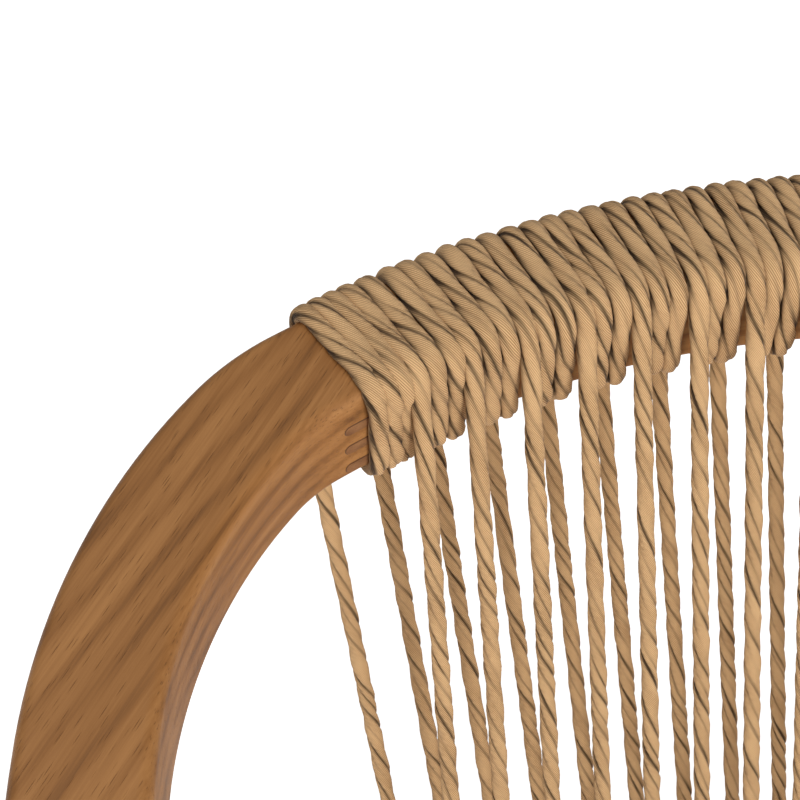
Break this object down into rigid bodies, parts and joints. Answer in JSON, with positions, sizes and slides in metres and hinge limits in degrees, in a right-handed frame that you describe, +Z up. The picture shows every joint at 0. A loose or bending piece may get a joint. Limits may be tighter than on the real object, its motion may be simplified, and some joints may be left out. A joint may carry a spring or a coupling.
{
  "type": "hammock seat on stand",
  "caption": "Cord-strung hammock seat slung between a curved wooden arm hoop and a lower seat hoop, on a four-legged wooden stand.",
  "frame": {"origin": "centre of the bounding box at floor level", "axes": "+Z up, -Y towards the open front where the sitter's legs are, +X across the seat; X is the mirror direction"},
  "size_m": [0.6058, 0.5002, 0.7136],
  "materials": {
    "arm_hoop_wood": "oiled hardwood, brown, straight grain sawn across the curve",
    "seat_frame_wood": "oiled hardwood, brown",
    "stand_wood": "oiled hardwood, brown",
    "dowel_wood": "bare beech dowel",
    "tape_cord": "flat woven tan tape twisted into a cord",
    "bolt_steel": "brushed stainless",
    "glide_plastic": "dark moulded nylon"
  },
  "bodies": {
    "root": {"top_back_rail": "arm_hoop_wood", "left_top_corner": "arm_hoop_wood", "right_top_corner": "arm_hoop_wood", "left_arm": "arm_hoop_wood", "right_arm": "arm_hoop_wood", "seat_back_rail": "seat_frame_wood", "left_seat_corner": "seat_frame_wood", "left_seat_side": "seat_frame_wood", "right_seat_corner": "seat_frame_wood", "right_seat_side": "seat_frame_wood", "front_rail": "seat_frame_wood", "cross_rail": "seat_frame_wood", "left_front_leg": "stand_wood", "left_rear_leg": "stand_wood", "left_front_glide": "glide_plastic", "left_rear_glide": "glide_plastic", "right_front_leg": "stand_wood", "right_rear_leg": "stand_wood", "right_front_glide": "glide_plastic", "right_rear_glide": "glide_plastic", "left_stretcher": "stand_wood", "right_stretcher": "stand_wood", "rear_stretcher": "stand_wood", "left_front_arm_dowel": "dowel_wood", "left_rear_arm_dowel": "dowel_wood", "left_cross_rail_dowel": "dowel_wood", "left_front_stretcher_dowel": "dowel_wood", "left_rear_stretcher_dowel": "dowel_wood", "left_front_bolt": "bolt_steel", "left_rear_bolt": "bolt_steel", "right_front_arm_dowel": "dowel_wood", "right_rear_arm_dowel": "dowel_wood", "right_cross_rail_dowel": "dowel_wood", "right_front_stretcher_dowel": "dowel_wood", "right_rear_stretcher_dowel": "dowel_wood", "right_front_bolt": "bolt_steel", "right_rear_bolt": "bolt_steel", "left_rear_cross_dowel": "dowel_wood", "right_rear_cross_dowel": "dowel_wood", "back_cords": "tape_cord", "seat_top_cords": "tape_cord", "seat_under_cords": "tape_cord"}
  },
  "joints": []
}
